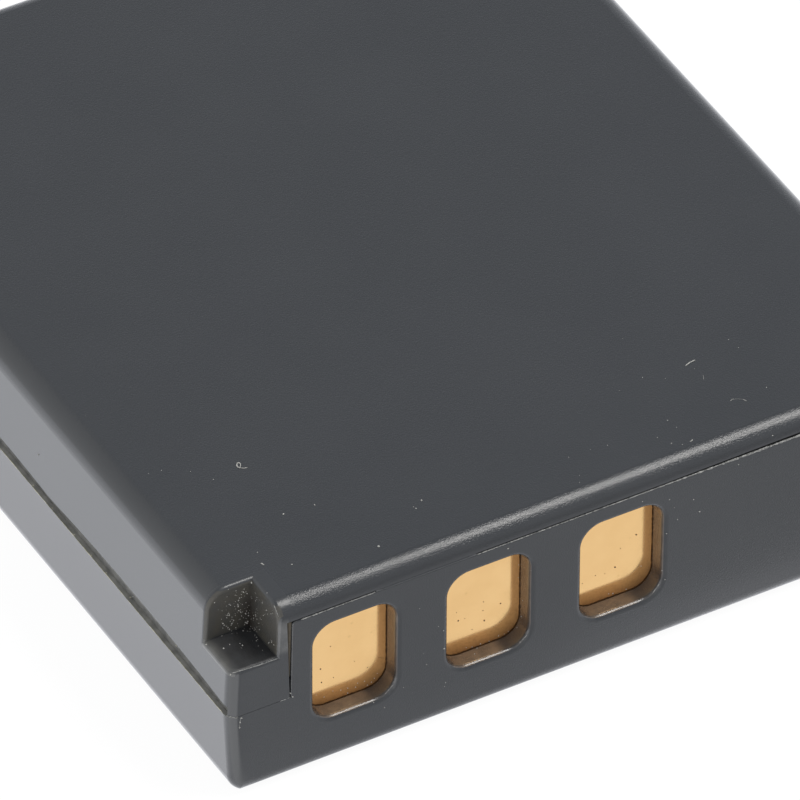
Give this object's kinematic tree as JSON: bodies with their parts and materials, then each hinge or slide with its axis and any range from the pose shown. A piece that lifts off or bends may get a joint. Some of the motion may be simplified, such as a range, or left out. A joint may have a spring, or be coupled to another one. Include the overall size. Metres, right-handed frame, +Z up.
{
  "type": "camera battery",
  "caption": "Slim rectangular camera battery in a two-part moulded case, with recessed gold contacts in one end and a keying notch in one corner.",
  "frame": {"origin": "centre of the large lower face, on the surface that the pack lies on", "axes": "+X across the width, the notched side at -X; +Y along the length, the contact end at -Y; +Z up"},
  "size_m": [0.0356, 0.041, 0.0095],
  "materials": {
    "case_plastic": "moulded dark grey plastic, fine matte grain",
    "gold_plating": "gold-plated, polished",
    "board_laminate": "green solder mask",
    "black_epoxy": "moulded package",
    "chip_ceramic": "fired ceramic chip",
    "can_aluminium": "drawn, plain",
    "terminal_nickel": "nickel",
    "gasket_plastic": "plain white",
    "insulator_fibre": "pressed fibre sheet",
    "fuse_body": "moulded",
    "tape_film": "double-sided tape",
    "foam": "closed-cell foam"
  },
  "bodies": {
    "root": {"lower_case": "case_plastic", "upper_case": "case_plastic", "contact_positive": "gold_plating", "contact_thermistor": "gold_plating", "contact_negative": "gold_plating", "protection_board": "board_laminate", "protection_chip": "black_epoxy", "switching_transistor": "black_epoxy", "thermistor": "chip_ceramic", "chip_resistors": "chip_ceramic", "chip_capacitors": "chip_ceramic", "cell_can": "can_aluminium", "terminal_gasket": "gasket_plastic", "cell_terminal": "terminal_nickel", "fill_plug": "can_aluminium", "lid_insulator": "insulator_fibre", "positive_tab": "terminal_nickel", "negative_tab": "terminal_nickel", "thermal_fuse": "fuse_body", "fuse_lead": "terminal_nickel", "cell_tape": "tape_film", "rear_pad": "foam"}
  },
  "joints": []
}
